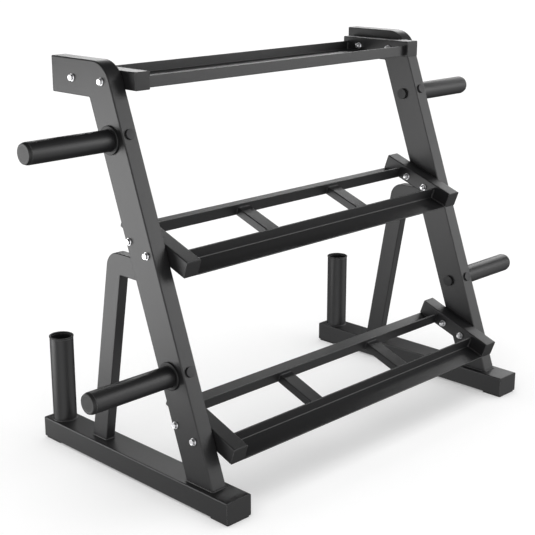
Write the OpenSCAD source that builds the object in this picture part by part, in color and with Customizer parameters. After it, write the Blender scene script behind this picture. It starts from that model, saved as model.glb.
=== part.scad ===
// Three-tier dumbbell rack with plate pegs and bar holders.
// +X runs along the shelves, +Y towards the back, +Z up.
// The origin is on the floor, at the middle of the rack's footprint.

/* [Overall] */
// Distance between the centre planes of the two side frames
frame_spacing = 1000; // [700:10:1400]
// Height of the side frames above the floor
rack_h = 940; // [900:1:980]
// Angle by which the uprights lean back, and the lower shelves tip forward
lean = 20; // [16:1:22]

/* [Feet] */
// Length of a foot, over its end caps
foot_l = 655; // [640:5:760]
// Width of a foot
foot_w = 70; // [60:1:80]
// Height of a foot's tube
foot_h = 50; // [40:1:60]
// Thickness of the rubber pads under the feet
pad_t = 4; // [3:0.5:8]
// Length of a rubber pad
pad_l = 56; // [40:1:80]

/* [Uprights] */
// Width of an upright, across the rack
upright_w = 40; // [36:1:50]
// Depth of an upright, front to back
upright_d = 80; // [70:1:84]
// Radius of the outer bend at an upright's top
upright_bend_r = 60; // [50:1:64]
// Distance from a foot's front end to the upright's front face
upright_setback = 61; // [55:1:80]
// Length from an upright's bend centre to the end of its top arm
top_arm_l = 146; // [135:1:160]

/* [Rear legs] */
// Width of a rear leg, across the rack
leg_w = 25; // [20:1:30]
// Depth of a rear leg, front to back
leg_d = 50; // [40:1:55]
// Angle by which a rear leg leans forward
leg_lean = 10; // [6:1:12]
// Radius of the outer bend of a rear leg
leg_bend_r = 40; // [30:1:40]
// Distance from a foot's front end to the rear leg's front face
leg_setback = 437; // [425:1:450]
// Height of a rear leg's top above the floor
leg_top_z = 522; // [500:1:540]

/* [Bar holders] */
// Outer diameter of a bar holder
holder_od = 57; // [56:0.5:60]
// Diameter of the hole that takes the bar
holder_id = 52; // [51:0.5:53]
// Height of a bar holder above its foot
holder_h = 213; // [150:1:260]
// Distance from a foot's front end to the bar holder's centre
holder_setback = 616; // [600:1:620]

/* [Plate pegs] */
// Diameter of a peg
peg_d = 48; // [46:0.5:49]
// Length of a peg, from the upright's outer face to its end
peg_l = 221; // [150:1:300]
// Places of the pegs, measured up along the upright's front face
peg_run = [783, 261];
// Distance of the peg's axis behind the upright's front face
peg_depth = 45.5; // [42:0.5:48]
// Diameter of the collar at a peg's root
collar_d = 64; // [58:1:70]
// Thickness of the collar
collar_t = 5; // [3:0.5:8]

/* [Shelves] */
// Length of a shelf bracket, over its end caps
bracket_l = 225; // [215:1:230]
// Height and width of a shelf bracket
bracket_w = 40; // [36:1:44]
// Heights of the brackets' front top edges: top, middle and bottom shelf
shelf_z = [919, 532.6, 147.1];
// How far the brackets reach in front of the uprights: top, middle and bottom shelf
shelf_reach = [47.5, 62, 62];
// Width of an angle rail's flat leg, which the dumbbells rest on
ledge_w = 54; // [50:1:56]
// Width of the flat legs of the lower shelves' back rails
back_ledge_w = 50; // [46:1:54]
// Thickness of the angle rails
rail_t = 3; // [2:0.5:4]
// Width of a slat
slat_w = 40; // [30:1:50]
// Height of a slat
slat_h = 20; // [15:1:22]
// Places of the slats along X: left and right
slat_x = [-152, 166];

/* [Fasteners] */
// Diameter of the bolts
bolt_d = 8; // [6:1:10]

/* [Hidden] */
$fn = 64;

LEFT = -1;
RIGHT = 1;
TOP = 0;
MIDDLE = 1;
BOTTOM = 2;
UPPER = 0;
LOWER = 1;

COAT = [0.13, 0.13, 0.14];
PLASTIC = [0.07, 0.07, 0.07];
RUBBER = [0.05, 0.05, 0.05];
CHROME = [0.80, 0.80, 0.82];

// Walls, corner radii and end caps; plug_gap is the play round each plug and in each nut
foot_wall = 2.5;
foot_corner = 3;
upright_wall = 2.5;
upright_corner = 3;
leg_wall = 2;
bracket_wall = 2.5;
bracket_corner = 3;
slat_wall = 2;
slat_corner = 2.5;
peg_wall = 2.5;
cap_t = 2.5;
plug_depth = 15;
plug_gap = 0.1;
arc_steps = 24;

// Side frame
foot_top_z = pad_t + foot_h;
front_y = -foot_l / 2;
upright_y = front_y + upright_setback;
upright_depth_y = upright_d / cos(lean);
upright_bend_z = rack_h - upright_bend_r;
upright_corner_y = upright_y + (rack_h - foot_top_z) * tan(lean);
upright_bend_y = upright_corner_y + upright_bend_r * tan((90 - lean) / 2);
arm_end_y = upright_bend_y + top_arm_l;
outer_x = upright_w / 2;

leg_y = front_y + leg_setback;
leg_bend_z = leg_top_z - leg_bend_r;
leg_corner_y = leg_y + leg_d / cos(leg_lean) - (leg_top_z - foot_top_z) * tan(leg_lean);
leg_bend_y = leg_corner_y - leg_bend_r * tan((90 - leg_lean) / 2);

holder_y = front_y + holder_setback;
holder_top_z = foot_top_z + holder_h;
rim_h = 5;
rim_neck_h = 1.5;
rim_od = holder_od + 2;

// Peg and its parts, along the peg's own axis from the upright's outer face
peg_cap_l = 8;
peg_tube_l = peg_l - peg_cap_l;
peg_face_d = peg_d - 5;
peg_seat_d = peg_d - 1;
spigot_d = 25;
spigot_gap = 0.25;
spigot_reach = 40;
spigot_plate_t = 5;
inner_cap_d = 28;
inner_cap_t = 8;
cross_head_d = 23;
cross_head_t = 5;
cross_nut_d = 20;
cross_nut_t = 8;
cross_nut_bore = 6;

// Shelves: s runs back along a bracket from its front end, t runs down from its top face.
// The rails' upright legs start a little below the brackets' top faces: tipped shelves' front
// and back rails, then the top shelf's rails.
shelf_tilt = [0, lean, lean];
rail_half_l = frame_spacing / 2 - upright_w / 2 - bracket_w;
bracket_x = frame_spacing / 2 - upright_w / 2 - bracket_w / 2;
front_leg_t = 9;
back_leg_t = 10;
top_rail_t = 12;
top_rail_inset = 13;
top_rail_bottom = 38;
back_leg_s = bracket_l - ledge_w;
bolt_s = [[67.4, 169.5], [84, 145.5], [84, 145.5]];
bolt_t = [22, 24, 24];

// Fasteners
hole_gap = 0.25;
head_af = 13;
head_h = 5.5;
washer_d = 17;
washer_t = 1.6;
nut_af = 13;
nut_h = 8;
bolt_tip = 3;
hex_scale = 1 / cos(30);

// ---- Profiles and tubes ----

// Rectangle with round corners, centred on the origin
module rounded_rect(w, h, r) {
    square([w - 2 * r, h], center = true);
    square([w, h - 2 * r], center = true);
    for (x = [-1, 1], y = [-1, 1])
        translate([x * (w / 2 - r), y * (h / 2 - r)]) circle(r = r);
}

// Bar along +Y from y0 to y1, w wide and h high, centred on x = 0, z = 0
module bar_y(w, h, r, y0, y1) {
    translate([0, y0, 0]) rotate([-90, 0, 0])
        linear_extrude(y1 - y0) rounded_rect(w, h, r);
}

// Hollow tube along +Y
module tube_y(w, h, r, wall, y0, y1) {
    difference() {
        bar_y(w, h, r, y0, y1);
        bar_y(w - 2 * wall, h - 2 * wall, r - wall + 0.5, y0 - 1, y1 + 1);
    }
}

// End cap of a tube along +Y: the flange lies in front of y = 0, the hollow plug behind it
module end_cap_y(w, h, r, wall) {
    plug_w = w - 2 * wall - 2 * plug_gap;
    plug_h = h - 2 * wall - 2 * plug_gap;
    bar_y(w, h, r, -cap_t, 0);
    difference() {
        bar_y(plug_w, plug_h, r - wall + 0.4, -1, plug_depth);
        bar_y(plug_w - 4, plug_h - 4, 1, 0, plug_depth + 1);
    }
}

// Side view in Y and Z, made w thick across X = 0
module slab_x(w) {
    translate([-w / 2, 0, 0]) rotate([90, 0, 90]) linear_extrude(w) children();
}

// Points of an arc in Y and Z, from one angle to another (0 is +Y, 90 is +Z)
function arc_yz(y, z, r, from, to) = [
    for (i = [0:arc_steps]) let (a = from + (to - from) * i / arc_steps)
        [y + r * cos(a), z + r * sin(a)]
];

// Rod along +X from x0 to x1
module rod_x(d, x0, x1) {
    translate([x0, 0, 0]) rotate([0, 90, 0]) cylinder(d = d, h = x1 - x0);
}

// Domed head on x = 0: a disc edge_h thick, with a low dome on it that rises to x = h
module domed_head_x(d, edge_h, h) {
    rise = h - edge_h;
    ball_r = (d * d / 4 + rise * rise) / (2 * rise);
    rotate([0, 90, 0]) rotate_extrude() intersection() {
        translate([0, h - ball_r]) circle(r = ball_r);
        square([d / 2, h]);
    }
}

// ---- Places ----

// The right-hand side frame, or its mirror image on the left
module at_side(side) {
    mirror([side < 0 ? 1 : 0, 0, 0]) translate([frame_spacing / 2, 0, 0]) children();
}

// The upright's own frame: y runs back through its depth, z up along its front face
module on_upright() {
    translate([0, upright_y, foot_top_z]) rotate([-lean, 0, 0]) children();
}

// A peg's axis at the upright's outer face
module at_peg(level) {
    on_upright() translate([outer_x, peg_depth, peg_run[level]]) children();
}

// A shelf's own frame: y runs back along the brackets, z = 0 is their top face
module on_shelf(k) {
    y = upright_y + (shelf_z[k] - foot_top_z) * tan(lean) - shelf_reach[k];
    translate([0, y, shelf_z[k]]) rotate([shelf_tilt[k], 0, 0]) children();
}

// The two bolt axes of a shelf's bracket, which run along X
module at_bolts(k) {
    on_shelf(k) for (s = bolt_s[k]) translate([0, s, -bolt_t[k]]) children();
}

// All twelve bolt axes, with x = 0 on the uprights' outer faces
module at_all_bolts() {
    for (side = [LEFT, RIGHT], k = [TOP, MIDDLE, BOTTOM])
        mirror([side < 0 ? 1 : 0, 0, 0]) translate([frame_spacing / 2 + outer_x, 0, 0])
            at_bolts(k) children();
}

// All four peg axes
module at_all_pegs() {
    for (side = [LEFT, RIGHT], level = [UPPER, LOWER])
        at_side(side) at_peg(level) children();
}

// ---- Feet ----

module foot(side) {
    color(COAT) at_side(side) translate([0, 0, pad_t + foot_h / 2])
        tube_y(foot_w, foot_h, foot_corner, foot_wall, front_y + cap_t, -front_y - cap_t);
}

module foot_front_cap(side) {
    color(PLASTIC) at_side(side) translate([0, front_y + cap_t, pad_t + foot_h / 2])
        end_cap_y(foot_w, foot_h, foot_corner, foot_wall);
}

module foot_rear_cap(side) {
    color(PLASTIC) mirror([0, 1, 0]) at_side(side)
        translate([0, front_y + cap_t, pad_t + foot_h / 2])
            end_cap_y(foot_w, foot_h, foot_corner, foot_wall);
}

module foot_pads(side) {
    color(RUBBER) at_side(side) for (flip = [0, 1]) mirror([0, flip, 0])
        translate([0, front_y + cap_t + pad_l / 2, 0])
            linear_extrude(pad_t) rounded_rect(foot_w - 2 * foot_corner, pad_l, 3);
}

// ---- Uprights ----

// How far an outline runs past the tube's open ends: a void (inset above 0) cuts them open
function past(inset) = inset > 0 ? 1 : 0;

// Where the upright's front and rear faces are at height z, shrunk by inset
function upright_front(z, inset) = upright_y + inset / cos(lean) + (z - foot_top_z) * tan(lean);
function upright_rear(z, inset) = upright_front(z, -inset) + upright_depth_y;

// Side view of an upright, shrunk by inset on all sides but its open ends
function upright_outline(inset) =
    let (
        base_z = foot_top_z - past(inset),
        under_z = rack_h - upright_d + inset,
        end_y = arm_end_y - cap_t + past(inset)
    )
    concat(
        [[upright_front(base_z, inset), base_z]],
        arc_yz(upright_bend_y, upright_bend_z, upright_bend_r - inset, 180 - lean, 90),
        [
            [end_y, rack_h - inset],
            [end_y, under_z],
            [upright_rear(under_z, inset), under_z],
            [upright_rear(base_z, inset), base_z]
        ]
    );

module upright(side) {
    color(COAT) at_side(side) difference() {
        slab_x(upright_w) polygon(upright_outline(0));
        slab_x(upright_w - 2 * upright_wall) polygon(upright_outline(upright_wall));
        for (level = [UPPER, LOWER]) at_peg(level) {
            rod_x(spigot_d + 2 * spigot_gap, -upright_w - 1, 1);
            translate([-outer_x, 0, 0]) rotate([90, 0, 0])
                cylinder(d = bolt_d + 2 * hole_gap, h = 3 * upright_d, center = true);
        }
        for (k = [TOP, MIDDLE, BOTTOM]) translate([-frame_spacing / 2, 0, 0]) at_bolts(k)
            rod_x(bolt_d + 2 * hole_gap, 0, frame_spacing);
    }
}

module upright_cap(side) {
    color(PLASTIC) at_side(side)
        translate([0, arm_end_y - cap_t, rack_h - upright_d / 2]) mirror([0, 1, 0])
            end_cap_y(upright_w, upright_d, upright_corner, upright_wall);
}

// ---- Rear legs ----

// Where the rear leg's front face is at height z, shrunk by inset
function leg_front(z, inset) = leg_y + inset / cos(leg_lean) - (z - foot_top_z) * tan(leg_lean);

// Side view of a rear leg, shrunk by inset on all sides but its open ends
function leg_outline(inset) =
    let (
        base_z = foot_top_z - past(inset),
        top_z = leg_top_z - inset,
        under_z = leg_top_z - leg_d + inset
    )
    concat(
        [
            [leg_front(base_z, inset), base_z],
            [leg_front(under_z, inset), under_z],
            [upright_rear(under_z, past(inset)), under_z],
            [upright_rear(top_z, past(inset)), top_z]
        ],
        arc_yz(leg_bend_y, leg_bend_z, leg_bend_r - inset, 90, leg_lean),
        [[leg_front(base_z, -inset) + leg_d / cos(leg_lean), base_z]]
    );

module rear_leg(side) {
    color(COAT) at_side(side) difference() {
        slab_x(leg_w) polygon(leg_outline(0));
        slab_x(leg_w - 2 * leg_wall) polygon(leg_outline(leg_wall));
    }
}

// ---- Bar holders ----

module bar_holder(side) {
    color(COAT) at_side(side) translate([0, holder_y, foot_top_z]) difference() {
        cylinder(d = holder_od, h = holder_h - rim_h);
        translate([0, 0, -1]) cylinder(d = holder_id, h = holder_h);
    }
}

module bar_holder_rim(side) {
    lip_h = rim_h - rim_neck_h;
    color(PLASTIC) at_side(side) translate([0, holder_y, holder_top_z - rim_h])
        difference() {
            union() {
                cylinder(d = holder_od - 1.5, h = rim_neck_h);
                translate([0, 0, rim_neck_h]) cylinder(d = rim_od, h = lip_h - 1);
                translate([0, 0, rim_h - 1]) cylinder(d1 = rim_od, d2 = rim_od - 2, h = 1);
            }
            translate([0, 0, -1]) cylinder(d = holder_id, h = rim_h + 2);
        }
}

// ---- Plate pegs ----

// The tube is turned down a little at its root, where the collar sits
module peg(level, side) {
    color(COAT) at_side(side) at_peg(level) difference() {
        union() {
            rod_x(peg_seat_d, 0, collar_t);
            rod_x(peg_d, collar_t, peg_tube_l);
        }
        rod_x(peg_d - 2 * peg_wall, -1, peg_l);
    }
}

module peg_collar(level, side) {
    color(PLASTIC) at_side(side) at_peg(level) difference() {
        union() {
            rod_x(collar_d, 0, collar_t - 1);
            translate([collar_t - 1, 0, 0]) rotate([0, 90, 0])
                cylinder(d1 = collar_d, d2 = collar_d - 2, h = 1);
        }
        rod_x(peg_seat_d + 2 * plug_gap, -1, collar_t + 1);
    }
}

module peg_cap(level, side) {
    plug_d = peg_d - 2 * peg_wall - 2 * plug_gap;
    color(PLASTIC) at_side(side) at_peg(level) {
        rod_x(plug_d, peg_tube_l - plug_depth, peg_tube_l);
        rod_x(peg_d, peg_tube_l, peg_tube_l + 1.5);
        translate([peg_tube_l + 1.5, 0, 0]) rotate([0, 90, 0])
            cylinder(d1 = peg_d, d2 = peg_face_d, h = peg_cap_l - 1.5);
    }
}

// Bars that pass through the uprights, each with the plate that closes a peg's root
module peg_spigots() {
    plate_d = peg_d - 2 * peg_wall - 2 * plug_gap;
    color(CHROME) at_all_pegs() difference() {
        union() {
            rod_x(spigot_d, -upright_w, spigot_reach);
            rod_x(plate_d, 0, spigot_plate_t);
        }
        translate([-outer_x, 0, 0]) rotate([90, 0, 0])
            cylinder(d = bolt_d + 2 * hole_gap, h = 2 * spigot_d, center = true);
    }
}

module peg_inner_caps() {
    color(PLASTIC) at_all_pegs() translate([-upright_w, 0, 0]) mirror([1, 0, 0])
        domed_head_x(inner_cap_d, inner_cap_t - 1.5, inner_cap_t);
}

// Bolts that lock the spigots, front to back through the uprights
module cross_bolts() {
    shank_l = upright_d + cross_nut_bore;
    color(PLASTIC) at_all_pegs() translate([-outer_x, -peg_depth, 0]) rotate([0, 0, -90]) {
        domed_head_x(cross_head_d, cross_head_t - 1, cross_head_t);
        rod_x(bolt_d, -shank_l, 0.5);
    }
}

module cross_nuts() {
    color(PLASTIC) at_all_pegs()
        translate([-outer_x, upright_d - peg_depth, 0]) rotate([0, 0, 90]) difference() {
            domed_head_x(cross_nut_d, 4, cross_nut_t);
            rod_x(bolt_d + plug_gap, -1, cross_nut_bore);
        }
}

// ---- Shelves ----

module bracket(k, side) {
    color(COAT) difference() {
        on_shelf(k) translate([side * bracket_x, 0, -bracket_w / 2])
            tube_y(bracket_w, bracket_w, bracket_corner, bracket_wall, cap_t, bracket_l - cap_t);
        mirror([side < 0 ? 1 : 0, 0, 0]) at_bolts(k)
            rod_x(bolt_d + 2 * hole_gap, rail_half_l - 1, rail_half_l + bracket_w + 1);
    }
}

module bracket_caps(k) {
    color(PLASTIC) on_shelf(k) for (side = [LEFT, RIGHT])
        translate([side * bracket_x, bracket_l / 2, -bracket_w / 2])
            for (flip = [0, 1]) mirror([0, flip, 0]) translate([0, cap_t - bracket_l / 2, 0])
                end_cap_y(bracket_w, bracket_w, bracket_corner, bracket_wall);
}

// Angle rail between the brackets. Its upright leg has its faces at s = 0 and s = rail_t, and
// its ledge, which is w wide, runs from there towards +s with its underside at depth bottom.
module angle_rail(w, top, bottom) {
    rotate([90, 0, 90]) translate([0, 0, -rail_half_l]) linear_extrude(2 * rail_half_l) {
        translate([0, -bottom]) square([rail_t, bottom - top]);
        translate([0, -bottom]) square([w, rail_t]);
    }
}

// On the tipped shelves the ledges point out from the legs
module tipped_front_rail(k) {
    color(COAT) on_shelf(k) translate([0, ledge_w, 0]) mirror([0, 1, 0])
        angle_rail(ledge_w, front_leg_t, bracket_w);
}

module tipped_back_rail(k) {
    color(COAT) on_shelf(k) translate([0, back_leg_s, 0])
        angle_rail(back_ledge_w, back_leg_t, bracket_w);
}

// On the top shelf the ledges point in towards each other
module top_front_rail() {
    color(COAT) on_shelf(TOP) translate([0, top_rail_inset, 0])
        angle_rail(ledge_w, top_rail_t, top_rail_bottom);
}

module top_back_rail() {
    color(COAT) on_shelf(TOP) translate([0, bracket_l - top_rail_inset + 1, 0])
        mirror([0, 1, 0]) angle_rail(ledge_w, top_rail_t, top_rail_bottom);
}

module slat(k, side) {
    x = side == LEFT ? slat_x[0] : slat_x[1];
    color(COAT) on_shelf(k) translate([x, 0, slat_h / 2 - bracket_w])
        tube_y(slat_w, slat_h, slat_corner, slat_wall, ledge_w, back_leg_s);
}

// ---- Shelf fasteners ----

module shelf_bolts() {
    shank_end = -upright_w - bracket_w - washer_t - nut_h - bolt_tip;
    color(CHROME) at_all_bolts() {
        translate([washer_t, 0, 0]) rotate([0, 90, 0])
            cylinder(d = head_af * hex_scale, h = head_h, $fn = 6);
        rod_x(bolt_d, shank_end, washer_t + 0.5);
    }
}

// One washer under each bolt's head and one under its nut
module shelf_washers() {
    color(CHROME) at_all_bolts() for (x = [0, -upright_w - bracket_w - washer_t])
        translate([x, 0, 0]) difference() {
            rod_x(washer_d, 0, washer_t);
            rod_x(bolt_d + 2 * hole_gap, -1, washer_t + 1);
        }
}

module shelf_nuts() {
    color(CHROME) at_all_bolts()
        translate([-upright_w - bracket_w - washer_t - nut_h, 0, 0]) difference() {
            rotate([0, 90, 0]) cylinder(d = nut_af * hex_scale, h = nut_h, $fn = 6);
            rod_x(bolt_d + plug_gap, -1, nut_h + 1);
        }
}

// ---- Nodes ----

foot(LEFT);  // foot_left
foot(RIGHT);  // foot_right
foot_front_cap(LEFT);  // foot_front_cap_left
foot_front_cap(RIGHT);  // foot_front_cap_right
foot_rear_cap(LEFT);  // foot_rear_cap_left
foot_rear_cap(RIGHT);  // foot_rear_cap_right
foot_pads(LEFT);  // foot_pads_left
foot_pads(RIGHT);  // foot_pads_right
upright(LEFT);  // upright_left
upright(RIGHT);  // upright_right
upright_cap(LEFT);  // upright_cap_left
upright_cap(RIGHT);  // upright_cap_right
rear_leg(LEFT);  // rear_leg_left
rear_leg(RIGHT);  // rear_leg_right
bar_holder(LEFT);  // bar_holder_left
bar_holder(RIGHT);  // bar_holder_right
bar_holder_rim(LEFT);  // bar_holder_rim_left
bar_holder_rim(RIGHT);  // bar_holder_rim_right
peg(UPPER, LEFT);  // upper_peg_left
peg(UPPER, RIGHT);  // upper_peg_right
peg(LOWER, LEFT);  // lower_peg_left
peg(LOWER, RIGHT);  // lower_peg_right
peg_collar(UPPER, LEFT);  // upper_peg_collar_left
peg_collar(UPPER, RIGHT);  // upper_peg_collar_right
peg_collar(LOWER, LEFT);  // lower_peg_collar_left
peg_collar(LOWER, RIGHT);  // lower_peg_collar_right
peg_cap(UPPER, LEFT);  // upper_peg_cap_left
peg_cap(UPPER, RIGHT);  // upper_peg_cap_right
peg_cap(LOWER, LEFT);  // lower_peg_cap_left
peg_cap(LOWER, RIGHT);  // lower_peg_cap_right
peg_spigots();
peg_inner_caps();
cross_bolts();
cross_nuts();
bracket(TOP, LEFT);  // top_bracket_left
bracket(TOP, RIGHT);  // top_bracket_right
top_front_rail();
top_back_rail();
bracket_caps(TOP);  // top_bracket_caps
bracket(MIDDLE, LEFT);  // middle_bracket_left
bracket(MIDDLE, RIGHT);  // middle_bracket_right
tipped_front_rail(MIDDLE);  // middle_front_rail
tipped_back_rail(MIDDLE);  // middle_back_rail
slat(MIDDLE, LEFT);  // middle_slat_left
slat(MIDDLE, RIGHT);  // middle_slat_right
bracket_caps(MIDDLE);  // middle_bracket_caps
bracket(BOTTOM, LEFT);  // bottom_bracket_left
bracket(BOTTOM, RIGHT);  // bottom_bracket_right
tipped_front_rail(BOTTOM);  // bottom_front_rail
tipped_back_rail(BOTTOM);  // bottom_back_rail
slat(BOTTOM, LEFT);  // bottom_slat_left
slat(BOTTOM, RIGHT);  // bottom_slat_right
bracket_caps(BOTTOM);  // bottom_bracket_caps
shelf_bolts();
shelf_washers();
shelf_nuts();
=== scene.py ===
import math

import bmesh
import bpy
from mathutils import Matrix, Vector


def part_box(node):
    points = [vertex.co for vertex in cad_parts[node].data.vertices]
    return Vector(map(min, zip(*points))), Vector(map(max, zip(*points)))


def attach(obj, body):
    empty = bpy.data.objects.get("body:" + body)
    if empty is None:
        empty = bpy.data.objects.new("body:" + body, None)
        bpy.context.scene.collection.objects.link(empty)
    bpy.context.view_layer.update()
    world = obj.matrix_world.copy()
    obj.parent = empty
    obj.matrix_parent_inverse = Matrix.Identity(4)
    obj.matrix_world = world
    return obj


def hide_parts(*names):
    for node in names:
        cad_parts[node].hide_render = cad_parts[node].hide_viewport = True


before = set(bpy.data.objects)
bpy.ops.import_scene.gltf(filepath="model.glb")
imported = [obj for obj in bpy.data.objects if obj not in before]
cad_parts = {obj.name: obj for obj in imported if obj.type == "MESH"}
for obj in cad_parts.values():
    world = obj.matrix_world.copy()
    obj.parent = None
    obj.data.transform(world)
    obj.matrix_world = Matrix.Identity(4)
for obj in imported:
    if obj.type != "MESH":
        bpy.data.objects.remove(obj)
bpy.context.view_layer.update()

# ---- Sizes of the rack, in metres ----
# Where a piece lies and how big it is comes from its CAD node's box; these are what a box doesn't tell.

MM = 0.001
SIDES = {"left": -1, "right": 1}
SHELVES = ("top", "middle", "bottom")
X_AXIS, Y_AXIS, Z_AXIS = Vector((1, 0, 0)), Vector((0, 1, 0)), Vector((0, 0, 1))

# Uprights: 80 mm deep tubes that lean back, then bend into a level arm
LEAN = math.radians(20)
UPRIGHT_DEPTH = 80 * MM
UPRIGHT_CORNER = 3 * MM
UPRIGHT_BEND = 60 * MM
UPRIGHT_INNER_BEND = 5 * MM

# Rear legs: 50 mm deep tubes that lean forward, then bend to meet the upright
LEG_LEAN = math.radians(10)
LEG_DEPTH = 50 * MM
LEG_CORNER = 2.5 * MM
LEG_BEND = 40 * MM
LEG_INNER_BEND = 4 * MM

# Feet and shelves: corners, and the angle irons' places on their brackets
FOOT_CORNER = 3 * MM
BRACKET_CORNER = 3 * MM
BRACKET_LENGTH = 225 * MM
BRACKET_DEPTH = 40 * MM
RAIL_WALL = 3 * MM
LEDGE = 54 * MM
BACK_LEDGE = 50 * MM
FRONT_LEG_TOP = 9 * MM
BACK_LEG_TOP = 10 * MM
TOP_RAIL_TOP = 12 * MM
TOP_RAIL_BOTTOM = 38 * MM
TOP_FRONT_INSET = 13 * MM
TOP_BACK_INSET = 12 * MM
BRACKET_FLANGE = 2.5 * MM
SLAT_TOP = 20 * MM
SHELF_TILT = {"top": 0.0, "middle": LEAN, "bottom": LEAN}

# Pegs, bar holders, pads and the caps and bolts that hold the pegs
PEG_RADIUS = 24 * MM
PEG_WALL = 2.5 * MM
HOLDER_BORE = 26 * MM
PAD_LENGTH = 56 * MM
INNER_CAP_RADIUS, INNER_CAP_HEIGHT = 14 * MM, 8 * MM
CROSS_HEAD_RADIUS, CROSS_HEAD_HEIGHT = 11.5 * MM, 5 * MM
CROSS_NUT_RADIUS, CROSS_NUT_EDGE, CROSS_NUT_HEIGHT = 10 * MM, 4 * MM, 8 * MM


# ---- Mesh building ----

class Solid:
    """Vertices and faces of one piece, which may hold several closed solids."""

    def __init__(self):
        self.verts = []
        self.faces = []

    def loft(self, rings, closed=False):
        """Joins rings of points side by side; an open run of rings gets a flat end on both sides."""
        first, count = len(self.verts), len(rings[0])
        for ring in rings:
            self.verts.extend(ring)
        steps = len(rings) if closed else len(rings) - 1
        for i in range(steps):
            a, b = first + i * count, first + (i + 1) % len(rings) * count
            for j in range(count):
                k = (j + 1) % count
                self.faces.append((a + j, a + k, b + k, b + j))
        if not closed:
            last = first + (len(rings) - 1) * count
            self.faces.append(tuple(range(first + count - 1, first - 1, -1)))
            self.faces.append(tuple(range(last, last + count)))


def rounded_rect(width, height, radius, steps=6):
    """Points of a rectangle with round corners, centred on the origin."""
    points = []
    for quarter, (sx, sy) in enumerate(((1, 1), (-1, 1), (-1, -1), (1, -1))):
        cx, cy = sx * (width / 2 - radius), sy * (height / 2 - radius)
        for i in range(steps + 1):
            a = math.radians(90 * quarter + 90 * i / steps)
            points.append((cx + radius * math.cos(a), cy + radius * math.sin(a)))
    return points


def filleted(corners, steps=4):
    """Outline of a polygon whose corners, given as (x, y, radius), are rounded."""
    points = []
    for i, (x, y, radius) in enumerate(corners):
        here = Vector((x, y))
        to_last = (Vector(corners[i - 1][:2]) - here).normalized()
        to_next = (Vector(corners[(i + 1) % len(corners)][:2]) - here).normalized()
        half = to_last.angle(to_next) / 2
        middle = here + (to_last + to_next).normalized() * radius / math.sin(half)
        start = here + to_last * radius / math.tan(half) - middle
        end = here + to_next * radius / math.tan(half) - middle
        for j in range(steps + 1):
            points.append(middle + start.lerp(end, j / steps).normalized() * radius)
    return points


def ring_at(origin, u, v, profile):
    """A profile's points placed in space, in the plane of u and v."""
    return [origin + u * p[0] + v * p[1] for p in profile]


def circle(radius, segments):
    return [(radius * math.cos(math.tau * i / segments), radius * math.sin(math.tau * i / segments))
            for i in range(segments)]


def hexagon(flat_radius, segments):
    """A hexagon sampled at the same angles as a circle; segments is a multiple of 6."""
    side = math.pi / 3
    points = []
    for i in range(segments):
        a = math.tau * i / segments
        r = flat_radius / math.cos((a + side / 2) % side - side / 2)
        points.append((r * math.cos(a), r * math.sin(a)))
    return points


def chamfered_hexagon(flat_radius, round_radius, segments):
    """A hexagon cut back by a circle, as the corners of a nut are."""
    points = []
    for x, y in hexagon(flat_radius, segments):
        scale = min(1.0, round_radius / math.hypot(x, y))
        points.append((x * scale, y * scale))
    return points


def side_axes(axis):
    """Two directions square to an axis."""
    u = axis.cross(Z_AXIS if abs(axis.z) < 0.9 else X_AXIS).normalized()
    return u, axis.cross(u).normalized()


def lathe(solid, origin, axis, profile, segments=48, closed=False):
    """Turns (radius, height) points round an axis."""
    u, v = side_axes(axis)
    solid.loft([ring_at(origin + axis * h, u, v, circle(r, segments)) for r, h in profile], closed)


def soft_edge(radius, height, edge, steps=3):
    """Profile points that round an edge at (radius, height), from the side to the face above it."""
    points = []
    for i in range(steps + 1):
        a = math.radians(90 * i / steps)
        points.append((radius - edge + edge * math.cos(a), height - edge + edge * math.sin(a)))
    return points


def make_piece(name, solid, material, replaces=(), sharp=40):
    """Makes a Blender object of a solid, shades it, and fixes it to the rack."""
    mesh = bpy.data.meshes.new(name)
    mesh.from_pydata([tuple(v) for v in solid.verts], [], solid.faces)
    bm = bmesh.new()
    bm.from_mesh(mesh)
    bmesh.ops.remove_doubles(bm, verts=bm.verts, dist=1e-6)
    bmesh.ops.recalc_face_normals(bm, faces=bm.faces)
    bm.to_mesh(mesh)
    bm.free()
    mesh.shade_smooth()
    mesh.set_sharp_from_angle(angle=math.radians(sharp))
    piece = bpy.data.objects.new(name, mesh)
    bpy.context.scene.collection.objects.link(piece)
    normals = piece.modifiers.new("weighted_normals", "WEIGHTED_NORMAL")
    normals.keep_sharp = True
    mesh.materials.append(material)
    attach(piece, "root")
    if replaces:
        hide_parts(*replaces)
    return piece


# ---- Materials ----

def new_material(name):
    """A material with its Principled shader, its node tree and its object coordinates."""
    material = bpy.data.materials.new(name)
    material.use_nodes = True
    tree = material.node_tree
    shader = next(n for n in tree.nodes if n.type == "BSDF_PRINCIPLED")
    place = tree.nodes.new("ShaderNodeTexCoord").outputs["Object"]
    return material, tree, shader, place


def noise(tree, place, scale, detail=2.0, roughness=0.5):
    node = tree.nodes.new("ShaderNodeTexNoise")
    node.inputs["Scale"].default_value = scale
    node.inputs["Detail"].default_value = detail
    node.inputs["Roughness"].default_value = roughness
    tree.links.new(place, node.inputs["Vector"])
    return node.outputs["Fac"]


def ramp(tree, value, low, high, from_low=0.0, from_high=1.0):
    node = tree.nodes.new("ShaderNodeMapRange")
    node.inputs["From Min"].default_value = from_low
    node.inputs["From Max"].default_value = from_high
    node.inputs["To Min"].default_value = low
    node.inputs["To Max"].default_value = high
    tree.links.new(value, node.inputs["Value"])
    return node.outputs["Result"]


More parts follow.
